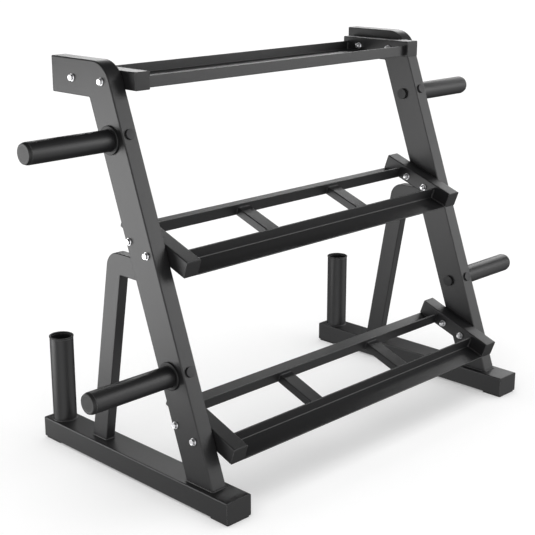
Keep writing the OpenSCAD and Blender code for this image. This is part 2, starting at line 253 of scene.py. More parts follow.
def mix_colour(tree, factor, low, high):
    node = tree.nodes.new("ShaderNodeMix")
    node.data_type = "RGBA"
    tree.links.new(factor, node.inputs["Factor"])
    for socket, colour in ((node.inputs["A"], low), (node.inputs["B"], high)):
        if isinstance(colour, tuple):
            socket.default_value = (*colour, 1.0)
        else:
            tree.links.new(colour, socket)
    return node.outputs["Result"]


def edge_mask(tree, radius):
    """1 along the piece's edges and 0 on its faces: where a rounded normal leaves the true one."""
    bevel = tree.nodes.new("ShaderNodeBevel")
    bevel.samples = 4
    bevel.inputs["Radius"].default_value = radius
    geometry = tree.nodes.new("ShaderNodeNewGeometry")
    dot = tree.nodes.new("ShaderNodeVectorMath")
    dot.operation = "DOT_PRODUCT"
    tree.links.new(bevel.outputs["Normal"], dot.inputs[0])
    tree.links.new(geometry.outputs["True Normal"], dot.inputs[1])
    return ramp(tree, dot.outputs["Value"], 1.0, 0.0, 0.80, 0.99)


def add_bump(tree, shader, heights):
    """Stacks bumps on the shader's normal; each is (height, strength, distance)."""
    normal = None
    for height, strength, distance in heights:
        bump = tree.nodes.new("ShaderNodeBump")
        bump.inputs["Strength"].default_value = strength
        bump.inputs["Distance"].default_value = distance
        tree.links.new(height, bump.inputs["Height"])
        if normal:
            tree.links.new(normal, bump.inputs["Normal"])
        normal = bump.outputs["Normal"]
    tree.links.new(normal, shader.inputs["Normal"])


def powder_coat():
    """Fine-textured matte black coat on steel: orange peel, speckle, and a painted highlight that pales its
    edges a little.
    """
    material, tree, shader, place = new_material("powder_coat")
    cloud = noise(tree, place, 9.0, 3.0)
    grain = noise(tree, place, 1400.0, 2.0, 0.6)
    peel = noise(tree, place, 260.0, 2.0)
    base = mix_colour(tree, cloud, (0.013, 0.013, 0.0135), (0.018, 0.018, 0.019))
    speckled = mix_colour(tree, ramp(tree, grain, 0.0, 0.35, 0.55, 0.8), base, (0.055, 0.055, 0.057))
    # Painted highlight: the edges are painted pale where their rounding would catch the light.
    painted_edge_highlight = mix_colour(tree, ramp(tree, edge_mask(tree, 0.0015), 0.0, 0.7), speckled, (0.27, 0.27, 0.273))
    tree.links.new(painted_edge_highlight, shader.inputs["Base Color"])
    tree.links.new(ramp(tree, grain, 0.34, 0.48), shader.inputs["Roughness"])
    add_bump(tree, shader, [(peel, 0.25, 0.0004), (grain, 0.35, 0.0002)])
    return material


def moulded_plastic():
    """Satin black moulded plastic with a faint spark-eroded grain."""
    material, tree, shader, place = new_material("moulded_plastic")
    grain = noise(tree, place, 1100.0, 3.0, 0.55)
    cloud = noise(tree, place, 30.0, 2.0)
    base = mix_colour(tree, cloud, (0.010, 0.010, 0.0105), (0.014, 0.014, 0.0145))
    # Painted highlight: the caps' edges are painted pale where their rounding would catch the light.
    painted_edge_highlight = mix_colour(tree, ramp(tree, edge_mask(tree, 0.0010), 0.0, 0.8), base, (0.24, 0.24, 0.243))
    tree.links.new(painted_edge_highlight, shader.inputs["Base Color"])
    tree.links.new(ramp(tree, grain, 0.46, 0.60), shader.inputs["Roughness"])
    add_bump(tree, shader, [(grain, 0.25, 0.00015)])
    return material


def pad_rubber():
    """Dull black rubber with a dusty bloom."""
    material, tree, shader, place = new_material("pad_rubber")
    bloom = noise(tree, place, 60.0, 4.0, 0.6)
    grain = noise(tree, place, 900.0, 2.0)
    dust = ramp(tree, bloom, 0.0, 1.0, 0.4, 0.8)
    base = mix_colour(tree, dust, (0.014, 0.014, 0.014), (0.035, 0.034, 0.033))
    tree.links.new(base, shader.inputs["Base Color"])
    tree.links.new(ramp(tree, bloom, 0.7, 0.9), shader.inputs["Roughness"])
    add_bump(tree, shader, [(grain, 0.4, 0.0003)])
    return material


def bright_plate():
    """Bright zinc and chrome plate with fine rubbing marks."""
    material, tree, shader, place = new_material("bright_plate")
    shader.inputs["Metallic"].default_value = 1.0
    marks = noise(tree, place, 700.0, 4.0, 0.65)
    cloud = noise(tree, place, 120.0, 2.0)
    base = mix_colour(tree, cloud, (0.78, 0.78, 0.80), (0.88, 0.88, 0.89))
    tree.links.new(base, shader.inputs["Base Color"])
    tree.links.new(ramp(tree, marks, 0.24, 0.38), shader.inputs["Roughness"])
    add_bump(tree, shader, [(marks, 0.12, 0.0001)])
    return material


def black_oxide():
    """Satin black fastener finish, with a faint painted highlight on its edges."""
    material, tree, shader, place = new_material("black_oxide")
    grain = noise(tree, place, 800.0, 3.0)
    base = mix_colour(tree, grain, (0.018, 0.018, 0.020), (0.030, 0.030, 0.032))
    # Painted highlight: the edges are painted faintly pale where their rounding would catch the light.
    painted_edge_highlight = mix_colour(tree, ramp(tree, edge_mask(tree, 0.0008), 0.0, 0.4), base, (0.14, 0.14, 0.14))
    tree.links.new(painted_edge_highlight, shader.inputs["Base Color"])
    tree.links.new(ramp(tree, grain, 0.46, 0.60), shader.inputs["Roughness"])
    add_bump(tree, shader, [(grain, 0.2, 0.0001)])
    return material


COAT = powder_coat()
PLASTIC = moulded_plastic()
RUBBER = pad_rubber()
PLATE = bright_plate()
OXIDE = black_oxide()


def dress(node, material):
    """Gives a CAD node that stays its material."""
    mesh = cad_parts[node].data
    mesh.materials.clear()
    mesh.materials.append(material)


# ---- Bent tubes: uprights and rear legs ----

def yz(x, point):
    return Vector((x, point[0], point[1]))


def bent_tube(x, width, corner, stations):
    """A tube through stations, each an (outer, inner) pair of (y, z) points across its depth."""
    solid = Solid()
    rings = []
    for outer, inner in stations:
        start, end = yz(x, outer), yz(x, inner)
        depth = (end - start).length
        across = (end - start) / depth
        rings.append(ring_at((start + end) / 2, X_AXIS, across, rounded_rect(width, depth, corner)))
    solid.loft(rings)
    return solid


def arc(centre, radius, start, end, steps):
    """Points of an arc in (y, z); angles in radians, 0 is +Y and a right angle is +Z."""
    return [(centre[0] + radius * math.cos(start + (end - start) * i / steps),
             centre[1] + radius * math.sin(start + (end - start) * i / steps))
            for i in range(steps + 1)]


def make_upright(side, bend_steps=24):
    node = f"upright_{side}"
    low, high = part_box(node)
    x, foot_z, top_z, rear_y = (low.x + high.x) / 2, low.z, high.z, high.y
    slope, span = math.tan(LEAN), UPRIGHT_DEPTH / math.cos(LEAN)
    turn = math.pi / 2 - LEAN
    corner_y = low.y + (top_z - foot_z) * slope
    centre = (corner_y + UPRIGHT_BEND * math.tan(turn / 2), top_z - UPRIGHT_BEND)
    outer = arc(centre, UPRIGHT_BEND, math.pi - LEAN, math.pi / 2, bend_steps)
    under_z = top_z - UPRIGHT_DEPTH
    inner_y = low.y + span + (under_z - foot_z) * slope
    inner_centre = (inner_y + UPRIGHT_INNER_BEND * math.tan(turn / 2), under_z - UPRIGHT_INNER_BEND)
    inner = arc(inner_centre, UPRIGHT_INNER_BEND, math.pi - LEAN, math.pi / 2, bend_steps)
    stations = [((low.y, foot_z), (low.y + span, foot_z))]
    stations += list(zip(outer, inner))
    stations.append(((rear_y, top_z), (rear_y, under_z)))
    solid = bent_tube(x, high.x - low.x, UPRIGHT_CORNER, stations)
    make_piece(f"upright_tube_{side}", solid, COAT, [node])


def make_rear_leg(side, bend_steps=20):
    node = f"rear_leg_{side}"
    low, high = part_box(node)
    x, foot_z, top_z = (low.x + high.x) / 2, low.z, high.z
    slope, span = math.tan(LEG_LEAN), LEG_DEPTH / math.cos(LEG_LEAN)
    turn = math.pi / 2 - LEG_LEAN
    corner_y = high.y - (top_z - foot_z) * slope
    centre = (corner_y - LEG_BEND * math.tan(turn / 2), top_z - LEG_BEND)
    outer = arc(centre, LEG_BEND, LEG_LEAN, math.pi / 2, bend_steps)
    under_z = top_z - LEG_DEPTH
    inner_y = high.y - span - (under_z - foot_z) * slope
    inner_centre = (inner_y - LEG_INNER_BEND * math.tan(turn / 2), under_z - LEG_INNER_BEND)
    inner = arc(inner_centre, LEG_INNER_BEND, LEG_LEAN, math.pi / 2, bend_steps)
    front_y = low.y
    stations = [((high.y, foot_z), (high.y - span, foot_z))]
    stations += list(zip(outer, inner))
    stations.append(((front_y + LEG_DEPTH * math.tan(LEAN), top_z), (front_y, under_z)))
    solid = bent_tube(x, high.x - low.x, LEG_CORNER, stations)
    make_piece(f"rear_leg_tube_{side}", solid, COAT, [node])


# ---- Moulded end caps ----

SEAM_WIDTH = 1.1 * MM
SEAM_DEPTH = 1.2 * MM
CAP_EDGE = 0.9 * MM
CAP_CROWN = 0.3 * MM
PLUG_INSET = 4 * MM
PLUG_LENGTH = 12 * MM


def cap_stations(flange, half_width):
    """How far each ring of an end cap lies out of the tube, and how far it is drawn in from its outline."""
    stations = [(-PLUG_LENGTH, PLUG_INSET + 0.5 * MM), (1 * MM - PLUG_LENGTH, PLUG_INSET), (0.0, PLUG_INSET),
                (0.0, SEAM_DEPTH), (SEAM_WIDTH, SEAM_DEPTH), (SEAM_WIDTH + 0.2 * MM, 0.0)]
    for i in range(4):
        a = math.radians(30 * i)
        stations.append((flange - CAP_CROWN - CAP_EDGE * (1 - math.sin(a)), CAP_EDGE * (1 - math.cos(a))))
    for share in (0.25, 0.5, 0.75):
        stations.append((flange - CAP_CROWN * (1 - share) ** 2,
                         CAP_EDGE + share * (half_width - CAP_EDGE - 1 * MM)))
    return stations


def plug_cap(solid, centre, out, u, v, width, height, corner, flange):
    """A tube's end cap: a seam, a flange with a soft edge and a slightly crowned face, on a short plug."""
    rings = []
    for depth, shrink in cap_stations(flange, min(width, height) / 2):
        radius = max(corner - shrink, 0.6 * MM)
        profile = rounded_rect(width - 2 * shrink, height - 2 * shrink, radius)
        rings.append(ring_at(centre + out * depth, u, v, profile))
    solid.loft(rings)


def make_foot_caps(side):
    low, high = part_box(f"foot_{side}")
    middle = (low + high) / 2
    for end, y, out in (("front", low.y, -Y_AXIS), ("rear", high.y, Y_AXIS)):
        node = f"foot_{end}_cap_{side}"
        cap_low, cap_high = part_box(node)
        flange = y - cap_low.y if end == "front" else cap_high.y - y
        solid = Solid()
        plug_cap(solid, Vector((middle.x, y, middle.z)), out, X_AXIS, Z_AXIS,
                 high.x - low.x, high.z - low.z, FOOT_CORNER, flange)
        make_piece(f"foot_{end}_plug_{side}", solid, PLASTIC, [node])


def make_upright_cap(side):
    low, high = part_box(f"upright_{side}")
    cap_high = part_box(f"upright_cap_{side}")[1]
    centre = Vector(((low.x + high.x) / 2, high.y, high.z - UPRIGHT_DEPTH / 2))
    solid = Solid()
    plug_cap(solid, centre, Y_AXIS, X_AXIS, Z_AXIS, high.x - low.x, UPRIGHT_DEPTH,
             UPRIGHT_CORNER, cap_high.y - high.y)
    make_piece(f"upright_plug_{side}", solid, PLASTIC, [f"upright_cap_{side}"])


# ---- Rubber pads ----

def make_pads(side):
    """Rubber pads under a foot's ends: blocks with soft edges and a groove round their sides."""
    node = f"foot_pads_{side}"
    low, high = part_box(node)
    width = high.x - low.x
    solid = Solid()
    for y in (low.y + PAD_LENGTH / 2, high.y - PAD_LENGTH / 2):
        centre = Vector(((low.x + high.x) / 2, y, low.z))
        rings = []
        for z, shrink in ((0.0, 0.8), (0.3, 0.25), (0.8, 0.0), (1.5, 0.0), (1.8, 0.5), (2.2, 0.5),
                          (2.5, 0.0), (3.6, 0.0), (4.0, 0.3)):
            profile = rounded_rect(width - 2 * shrink * MM, PAD_LENGTH - 2 * shrink * MM, 3 * MM)
            rings.append(ring_at(centre + Z_AXIS * z * MM, X_AXIS, Y_AXIS, profile))
        solid.loft(rings)
    make_piece(f"rubber_pads_{side}", solid, RUBBER, [node])


# ---- Bar holders ----

def make_holder_tube(side, base, outer, height):
    tube = Solid()
    profile = [(HOLDER_BORE, 0.0), (outer, 0.0)] + soft_edge(outer, height, 0.5 * MM)
    profile.append((HOLDER_BORE, height))
    lathe(tube, base, Z_AXIS, profile, 72, closed=True)
    make_piece(f"bar_holder_tube_{side}", tube, COAT, [f"bar_holder_{side}"])


def make_holder_rim(side, base, outer, start):
    """The moulded rim on the holder's mouth, with a groove where it meets the tube."""
    low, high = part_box(f"bar_holder_rim_{side}")
    lip, top = (high.x - low.x) / 2, high.z - base.z
    neck = outer - 0.8 * MM
    profile = [(HOLDER_BORE, start), (neck, start), (neck, start + 1.3 * MM),
               (lip - 0.5 * MM, start + 1.5 * MM), (lip, start + 2 * MM)]
    profile += soft_edge(lip, top, 1.2 * MM, 4)
    profile += [(HOLDER_BORE + 1 * MM, top), (HOLDER_BORE + 0.3 * MM, top - 0.3 * MM),
                (HOLDER_BORE, top - 1 * MM)]
    rim = Solid()
    lathe(rim, base, Z_AXIS, profile, 72, closed=True)
    make_piece(f"bar_holder_lip_{side}", rim, PLASTIC, [f"bar_holder_rim_{side}"])


def make_bar_holder(side):
    low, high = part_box(f"bar_holder_{side}")
    base = Vector(((low.x + high.x) / 2, (low.y + high.y) / 2, low.z))
    outer, height = (high.x - low.x) / 2, high.z - low.z
    make_holder_tube(side, base, outer, height)
    make_holder_rim(side, base, outer, height)


# ---- Plate pegs ----

def peg_axis(level, side):
    """Where a peg's axis meets the upright's outer face, and the way the peg points."""
    low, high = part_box(f"{level}_peg_{side}")
    sign = SIDES[side]
    root_x = low.x if sign > 0 else high.x
    return Vector((root_x, (low.y + high.y) / 2, (low.z + high.z) / 2)), X_AXIS * sign


def make_peg_tube(level, side, root, out, length):
    inner = PEG_RADIUS - PEG_WALL
    profile = [(inner, 0.0), (PEG_RADIUS, 0.0)] + soft_edge(PEG_RADIUS, length, 0.6 * MM)
    profile.append((inner, length))
    tube = Solid()
    lathe(tube, root, out, profile, 72, closed=True)
    make_piece(f"{level}_peg_tube_{side}", tube, COAT, [f"{level}_peg_{side}"])


def make_peg_cap(level, side, root, out, length):
    """The plug in a peg's free end: a collar, a waist and a face with a raised rim."""
    node = f"{level}_peg_cap_{side}"
    low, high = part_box(node)
    reach = max(abs(low.x), abs(high.x)) - abs(root.x)
    face = PEG_RADIUS - PEG_WALL
    plug = face - 0.2 * MM
    profile = [(plug - 1 * MM, length - 15 * MM), (plug, length - 14 * MM), (plug, length),
               (PEG_RADIUS - 0.9 * MM, length), (PEG_RADIUS - 0.5 * MM, length + 0.6 * MM),
               (PEG_RADIUS - 0.3 * MM, length + 1.2 * MM), (PEG_RADIUS - 0.5 * MM, length + 2.2 * MM),
               (face + 0.5 * MM, reach - 1.2 * MM), (face + 0.2 * MM, reach - 0.5 * MM),
               (face - 0.4 * MM, reach - 0.1 * MM), (face - 1.2 * MM, reach),
               (face - 3.5 * MM, reach), (face - 4.2 * MM, reach - 0.4 * MM),
               (face * 0.5, reach - 0.3 * MM), (face * 0.2, reach - 0.2 * MM), (0.5 * MM, reach - 0.2 * MM)]
    cap = Solid()
    lathe(cap, root, out, profile, 72)
    make_piece(f"{level}_peg_end_{side}", cap, PLASTIC, [node])


def make_peg_collar(level, side, root, out):
    node = f"{level}_peg_collar_{side}"
    low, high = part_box(node)
    radius, thick = (high.z - low.z) / 2, high.x - low.x
    hole = PEG_RADIUS + 0.1 * MM
    profile = [(hole, 0.0), (radius - 0.3 * MM, 0.0), (radius, 0.4 * MM)]
    profile += soft_edge(radius, thick, 1.6 * MM, 5)
    profile += [(hole + 0.8 * MM, thick), (hole, thick - 0.6 * MM)]
    collar = Solid()
    lathe(collar, root, out, profile, 72, closed=True)
    make_piece(f"{level}_peg_ring_{side}", collar, PLASTIC, [node])


def make_peg(level, side):
    root, out = peg_axis(level, side)
    low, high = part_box(f"{level}_peg_{side}")
    length = high.x - low.x
    make_peg_tube(level, side, root, out, length)
    make_peg_cap(level, side, root, out, length)
    make_peg_collar(level, side, root, out)


def each_peg():
    for side in SIDES:
        for level in ("upper", "lower"):
            yield side, *peg_axis(level, side)


def make_inner_caps():
    """Flat caps on the uprights' inner faces, in line with the pegs."""
    low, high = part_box("upright_right")
    width = high.x - low.x
    solid = Solid()
    for _, root, out in each_peg():
        profile = flat_head_profile(INNER_CAP_RADIUS, INNER_CAP_HEIGHT)
        lathe(solid, root - out * width, -out, profile)
    make_piece("spigot_covers", solid, PLASTIC, ["peg_inner_caps"])


def make_cross_bolts():
    """Flat heads on the uprights' front faces, and cap nuts on their rear faces."""
    low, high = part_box("upright_right")
    half = (high.x - low.x) / 2
    depth_dir = Vector((0, math.cos(LEAN), -math.sin(LEAN)))
    heads, nuts = Solid(), Solid()
    for side, root, out in each_peg():
        centre = root - out * half
        front = centre - depth_dir * front_distance(side, centre)
        rear = front + depth_dir * UPRIGHT_DEPTH
        lathe(heads, front, -depth_dir, flat_head_profile(CROSS_HEAD_RADIUS, CROSS_HEAD_HEIGHT))
        lathe(nuts, rear, depth_dir, cap_nut_profile(CROSS_NUT_RADIUS, CROSS_NUT_EDGE, CROSS_NUT_HEIGHT))
    make_piece("cross_bolt_heads", heads, OXIDE, ["cross_bolts"])
    make_piece("cross_bolt_nuts", nuts, OXIDE, ["cross_nuts"])


def front_distance(side, point):
    """How far a point lies behind the upright's front face, square to it."""
    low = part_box(f"upright_{side}")[0]
    front_y = low.y + (point.z - low.z) * math.tan(LEAN)
    return (point.y - front_y) * math.cos(LEAN)


def flat_head_profile(radius, height):
    """A flat, slightly crowned head with a shadow groove at its foot and a soft rim."""
    profile = [(radius - 0.9 * MM, 0.0), (radius - 0.9 * MM, 0.6 * MM), (radius, 0.9 * MM)]
    profile += soft_edge(radius, height - 0.4 * MM, 0.9 * MM, 4)
    return profile + [(radius / 2, height - 0.1 * MM), (0.3 * MM, height)]


def cap_nut_profile(radius, edge, height, steps=8):
    """A domed nut: a straight side up to its edge, and a part of a ball above it."""
    rise = height - edge
    ball = (radius * radius + rise * rise) / (2 * rise)
    end = math.asin(min(1.0, radius / ball))
    points = [(radius - 0.4 * MM, 0.0), (radius, 0.4 * MM)]
    for i in range(steps):
        a = end * (1 - i / steps)
        points.append((ball * math.sin(a), height - ball + ball * math.cos(a)))
    return points + [(0.3 * MM, height)]


# ---- Shelves ----

class Shelf:
    """A shelf's own frame: s runs back along its brackets, t down from their top faces."""

    def __init__(self, name):
        self.name = name
        self.tilt = SHELF_TILT[name]
        low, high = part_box(f"{name}_bracket_caps")
        self.back = Vector((0, math.cos(self.tilt), math.sin(self.tilt)))
        self.down = Vector((0, math.sin(self.tilt), -math.cos(self.tilt)))
        self.origin = Vector((0, low.y, high.z - BRACKET_LENGTH * math.sin(self.tilt)))

    def point(self, x, s, t):
        return self.origin + X_AXIS * x + self.back * s + self.down * t


def angle_outline(leg_s, ledge_s, top, bottom):
    """Angle iron in (s, t): its leg's outer face is at leg_s and its ledge reaches to ledge_s."""
    way = 1 if ledge_s > leg_s else -1
    wall = RAIL_WALL * way
    return filleted([
        (leg_s, top, 0.5 * MM),
        (leg_s, bottom, 1.4 * MM),
        (ledge_s, bottom, 0.7 * MM),
        (ledge_s, bottom - RAIL_WALL, 0.7 * MM),
        (leg_s + wall, bottom - RAIL_WALL, 2.2 * MM),
        (leg_s + wall, top, 0.5 * MM),
    ])


def make_rail(shelf, which, leg_s, ledge_s, top, bottom):
    node = f"{shelf.name}_{which}_rail"
    low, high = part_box(node)
    outline = angle_outline(leg_s, ledge_s, top, bottom)
    solid = Solid()
    solid.loft([ring_at(shelf.point(x, 0, 0), shelf.back, shelf.down, outline)
                for x in (low.x, low.x / 2, 0, high.x / 2, high.x)])
    make_piece(f"{shelf.name}_{which}_angle", solid, COAT, [node])


def rail_places(shelf):
    """Where a shelf's rails lie: leg's outer face and ledge's edge in s, leg's top and underside in t."""
    if shelf.tilt:
        back_leg = BRACKET_LENGTH - LEDGE
        return {"front": (LEDGE, 0.0, FRONT_LEG_TOP, BRACKET_DEPTH),
                "back": (back_leg, back_leg + BACK_LEDGE, BACK_LEG_TOP, BRACKET_DEPTH)}
    front_leg, back_leg = TOP_FRONT_INSET, BRACKET_LENGTH - TOP_BACK_INSET
    return {"front": (front_leg, front_leg + LEDGE, TOP_RAIL_TOP, TOP_RAIL_BOTTOM),
            "back": (back_leg, back_leg - LEDGE, TOP_RAIL_TOP, TOP_RAIL_BOTTOM)}


def make_rails(shelf):
    for which, (leg, ledge, top, bottom) in rail_places(shelf).items():
        make_rail(shelf, which, leg, ledge, top, bottom)


def make_bracket_caps(shelf):
    node = f"{shelf.name}_bracket_caps"
    solid = Solid()
    for side in SIDES:
        low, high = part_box(f"{shelf.name}_bracket_{side}")
        x = (low.x + high.x) / 2
        for s, out in ((BRACKET_FLANGE, -shelf.back), (BRACKET_LENGTH - BRACKET_FLANGE, shelf.back)):
            plug_cap(solid, shelf.point(x, s, BRACKET_DEPTH / 2), out, X_AXIS, shelf.down,
                     high.x - low.x, BRACKET_DEPTH, BRACKET_CORNER, BRACKET_FLANGE)
    make_piece(f"{shelf.name}_bracket_plugs", solid, PLASTIC, [node])


# ---- Shelf bolts, washers and nuts ----

# Each bolt's place on its bracket in the shelf's s and t, in mm
BOLT_PLACES = {"top": ((67.4, 22), (169.5, 22)), "middle": ((84, 24), (145.5, 24)),
               "bottom": ((84, 24), (145.5, 24))}
BOLT_RADIUS = 4 * MM
THREAD_PITCH = 1.25 * MM
THREAD_END = 3 * MM
HEX_RADIUS = 6.5 * MM
HEX_CORNER = HEX_RADIUS / math.cos(math.pi / 6)
HEX_SEGMENTS = 48
HEAD_HEIGHT = 5.5 * MM
NUT_HEIGHT = 8 * MM
WASHER_RADIUS = 8.5 * MM
WASHER_HEIGHT = 1.6 * MM


def each_bolt(shelves):
    """Each bolt's axis on the upright's outer face and on the bracket's inner face, and its way out."""
    outer_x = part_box("upright_right")[1].x
    inner_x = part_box("top_bracket_right")[0].x
    for shelf in shelves:
        for s, t in BOLT_PLACES[shelf.name]:
            for sign in SIDES.values():
                yield (shelf.point(sign * outer_x, s * MM, t * MM),
                       shelf.point(sign * inner_x, s * MM, t * MM), X_AXIS * sign)


def hex_rings(face, out, stations):
    """Rings of a hexagonal prism; each station is a height and the radius that cuts its corners."""
    u, v = side_axes(out)
    return [ring_at(face + out * h, u, v, chamfered_hexagon(HEX_RADIUS, limit, HEX_SEGMENTS))
            for h, limit in stations]


def round_rings(face, out, stations):
    """Rings of circles; each station is a radius and a height, in mm."""
    u, v = side_axes(out)
    return [ring_at(face + out * h * MM, u, v, circle(r * MM, HEX_SEGMENTS)) for r, h in stations]


def hex_head(solid, face, out):
    """Hexagonal bolt head with chamfered corners and a faintly dished top."""
    rings = hex_rings(face, out, ((0.0, HEX_CORNER), (HEAD_HEIGHT - 1 * MM, HEX_CORNER),
                                  (HEAD_HEIGHT - 0.1 * MM, HEX_RADIUS - 0.2 * MM)))
    rings += round_rings(face + out * HEAD_HEIGHT, out,
                         ((6.0, 0.0), (5.5, 0.0), (5.1, -0.12), (2.4, -0.12), (0.4, -0.12)))
    solid.loft(rings)


def thread_tip(solid, face, out):
    """The end of the bolt's thread that stands out of its nut."""
    profile = [(BOLT_RADIUS - 0.1 * MM, -1 * MM)]
    for i in range(int(THREAD_END / THREAD_PITCH)):
        profile += [(BOLT_RADIUS, (i + 0.15) * THREAD_PITCH),
                    (BOLT_RADIUS - 0.7 * MM, (i + 0.6) * THREAD_PITCH)]
    profile += [(BOLT_RADIUS - 0.9 * MM, THREAD_END - 0.2 * MM), (BOLT_RADIUS - 1.5 * MM, THREAD_END),
                (0.4 * MM, THREAD_END)]
    lathe(solid, face, out, profile, 36)


def lock_nut(solid, face, out):
    """Hexagonal nut with chamfered corners and the round collar of a lock nut."""
    cut = HEX_RADIUS + 0.1 * MM
    rings = hex_rings(face, out, ((0.0, cut), (0.6 * MM, HEX_CORNER), (5.0 * MM, HEX_CORNER),
                                  (5.7 * MM, cut)))
    rings += round_rings(face, out, ((6.1, 5.8), (6.0, 6.9), (5.6, 7.6), (4.9, 8.0), (4.3, 7.9),
                                     (4.05, 7.5), (4.05, 0.0)))
    solid.loft(rings, closed=True)


def flat_washer(solid, face, out):
    hole = BOLT_RADIUS + 0.25 * MM
    profile = [(hole, 0.0), (WASHER_RADIUS - 0.2 * MM, 0.0), (WASHER_RADIUS, 0.3 * MM),
               (WASHER_RADIUS, 1.2 * MM), (WASHER_RADIUS - 0.4 * MM, WASHER_HEIGHT), (hole, WASHER_HEIGHT)]
    lathe(solid, face, out, profile, closed=True)


def make_shelf_fasteners(shelves):
    bolts, washers, nuts = Solid(), Solid(), Solid()
    for outer, inner, out in each_bolt(shelves):
        nut_face = inner - out * WASHER_HEIGHT
        flat_washer(washers, outer, out)
        hex_head(bolts, outer + out * WASHER_HEIGHT, out)
        thread_tip(bolts, nut_face - out * NUT_HEIGHT, -out)
        flat_washer(washers, inner, -out)
        lock_nut(nuts, nut_face, -out)
    for name, solid, node in (("shelf_hex_bolts", bolts, "shelf_bolts"),
                              ("shelf_flat_washers", washers, "shelf_washers"),
                              ("shelf_lock_nuts", nuts, "shelf_nuts")):
        make_piece(name, solid, PLATE, [node], sharp=30)


# ---- Weld beads ----

BEAD_RADIUS = 2.6 * MM
RAIL_BEAD_RADIUS = 2.2 * MM
SLAT_BEAD_RADIUS = 2 * MM
RIPPLE_PITCH = 4.5 * MM
RIPPLE_STEPS = 6


def bead(solid, points, closed, radius=BEAD_RADIUS):
    """A rippled bead that follows a path of points."""
    path = resample(points, closed, RIPPLE_PITCH / RIPPLE_STEPS)
    count = len(path)
    rings = []
    for i, p in enumerate(path):
        ahead = path[(i + 1) % count] if closed or i + 1 < count else p
        behind = path[i - 1] if closed or i else p
        along = (ahead - behind).normalized()
        u, v = side_axes(along)
        size = radius * (1 + 0.16 * abs(math.sin(math.pi * i / RIPPLE_STEPS)) - 0.08)
        if not closed:
            size *= min(1.0, 0.35 + 0.25 * min(i, count - 1 - i))
        rings.append(ring_at(p, u, v, circle(size, 10)))
    if closed:
        rings = untwisted(rings)
    solid.loft(rings, closed)


def untwisted(rings):
    """Turns each ring so that its points follow those of the one before, to close without a twist."""
    out = [rings[0]]
    for ring in rings[1:]:
        last = out[-1][0]
        start = min(range(len(ring)), key=lambda k: (ring[k] - last).length)
        turned = ring[start:] + ring[:start]
        other = [turned[0]] + turned[:0:-1]
        same = (turned[1] - out[-1][1]).length
        flip = (other[1] - out[-1][1]).length
        out.append(turned if same <= flip else other)
    return out


def resample(points, closed, step):
    """Points at even steps along a path."""
    if closed:
        points = list(points) + [points[0]]
    out = []
    for a, b in zip(points, points[1:]):
        n = max(1, round((b - a).length / step))
        out += [a.lerp(b, i / n) for i in range(n)]
    if not closed:
        out.append(points[-1])
    return out


def tube_foot_bead(solid, low_y, high_y, x, width, z, corner):
    """Bead round the foot of a tube that stands on a foot."""
    middle = Vector((x, (low_y + high_y) / 2, z))
    profile = rounded_rect(width, high_y - low_y, corner, 4)
    bead(solid, ring_at(middle, X_AXIS, Y_AXIS, profile), True)


def make_frame_welds(side):
    """Welds of one side frame: upright, rear leg and bar holder to the foot, and leg to upright."""
    solid = Solid()
    low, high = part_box(f"upright_{side}")
    x, foot_z = (low.x + high.x) / 2, low.z
    span = UPRIGHT_DEPTH / math.cos(LEAN)
    tube_foot_bead(solid, low.y, low.y + span, x, high.x - low.x, foot_z, UPRIGHT_CORNER)
    leg_low, leg_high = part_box(f"rear_leg_{side}")
    leg_span = LEG_DEPTH / math.cos(LEG_LEAN)
    tube_foot_bead(solid, leg_high.y - leg_span, leg_high.y, x, leg_high.x - leg_low.x, foot_z, LEG_CORNER)
    hold_low, hold_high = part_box(f"bar_holder_{side}")
    centre = Vector((x, (hold_low.y + hold_high.y) / 2, foot_z))
    bead(solid, ring_at(centre, X_AXIS, Y_AXIS, circle((hold_high.x - hold_low.x) / 2, 36)), True)
    along = Vector((0, math.sin(LEAN), math.cos(LEAN)))
    height = LEG_DEPTH / math.cos(LEAN)
    middle = Vector((x, leg_low.y, leg_high.z - LEG_DEPTH)) + along * height / 2
    profile = rounded_rect(leg_high.x - leg_low.x, height, LEG_CORNER, 4)
    bead(solid, ring_at(middle, X_AXIS, along, profile), True)
    make_piece(f"frame_welds_{side}", solid, COAT, sharp=60)


def weld_rails(solid, shelf):
    """A bead down the leg and along the ledge of each rail, at both brackets."""
    inner_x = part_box(f"{shelf.name}_bracket_right")[0].x
    for sign in SIDES.values():
        x = sign * inner_x
        for leg, ledge, top, bottom in rail_places(shelf).values():
            way = 1 if ledge > leg else -1
            inside, floor_t = leg + way * RAIL_WALL, bottom - RAIL_WALL
            corner = [shelf.point(x, inside, top + 3 * MM), shelf.point(x, inside, floor_t),
                      shelf.point(x, ledge - way * 6 * MM, floor_t)]
            bead(solid, corner, False, RAIL_BEAD_RADIUS)


def weld_slats(solid, shelf):
    """Beads over and down both sides of each slat, where it meets the rails' legs."""
    for side in SIDES:
        low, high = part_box(f"{shelf.name}_slat_{side}")
        for s in (LEDGE, BRACKET_LENGTH - LEDGE):
            line = [shelf.point(low.x + 2 * MM, s, SLAT_TOP), shelf.point(high.x - 2 * MM, s, SLAT_TOP)]
            bead(solid, line, False, SLAT_BEAD_RADIUS)
            for x in (low.x, high.x):
                line = [shelf.point(x, s, SLAT_TOP + 3 * MM), shelf.point(x, s, BRACKET_DEPTH - 4 * MM)]
                bead(solid, line, False, SLAT_BEAD_RADIUS)


def make_shelf_welds(shelf):
    """Short welds where the rails meet the brackets and the slats meet the rails."""
    solid = Solid()
    weld_rails(solid, shelf)
    if shelf.tilt:
        weld_slats(solid, shelf)
    make_piece(f"{shelf.name}_shelf_welds", solid, COAT, sharp=60)


# ---- Build the rack ----

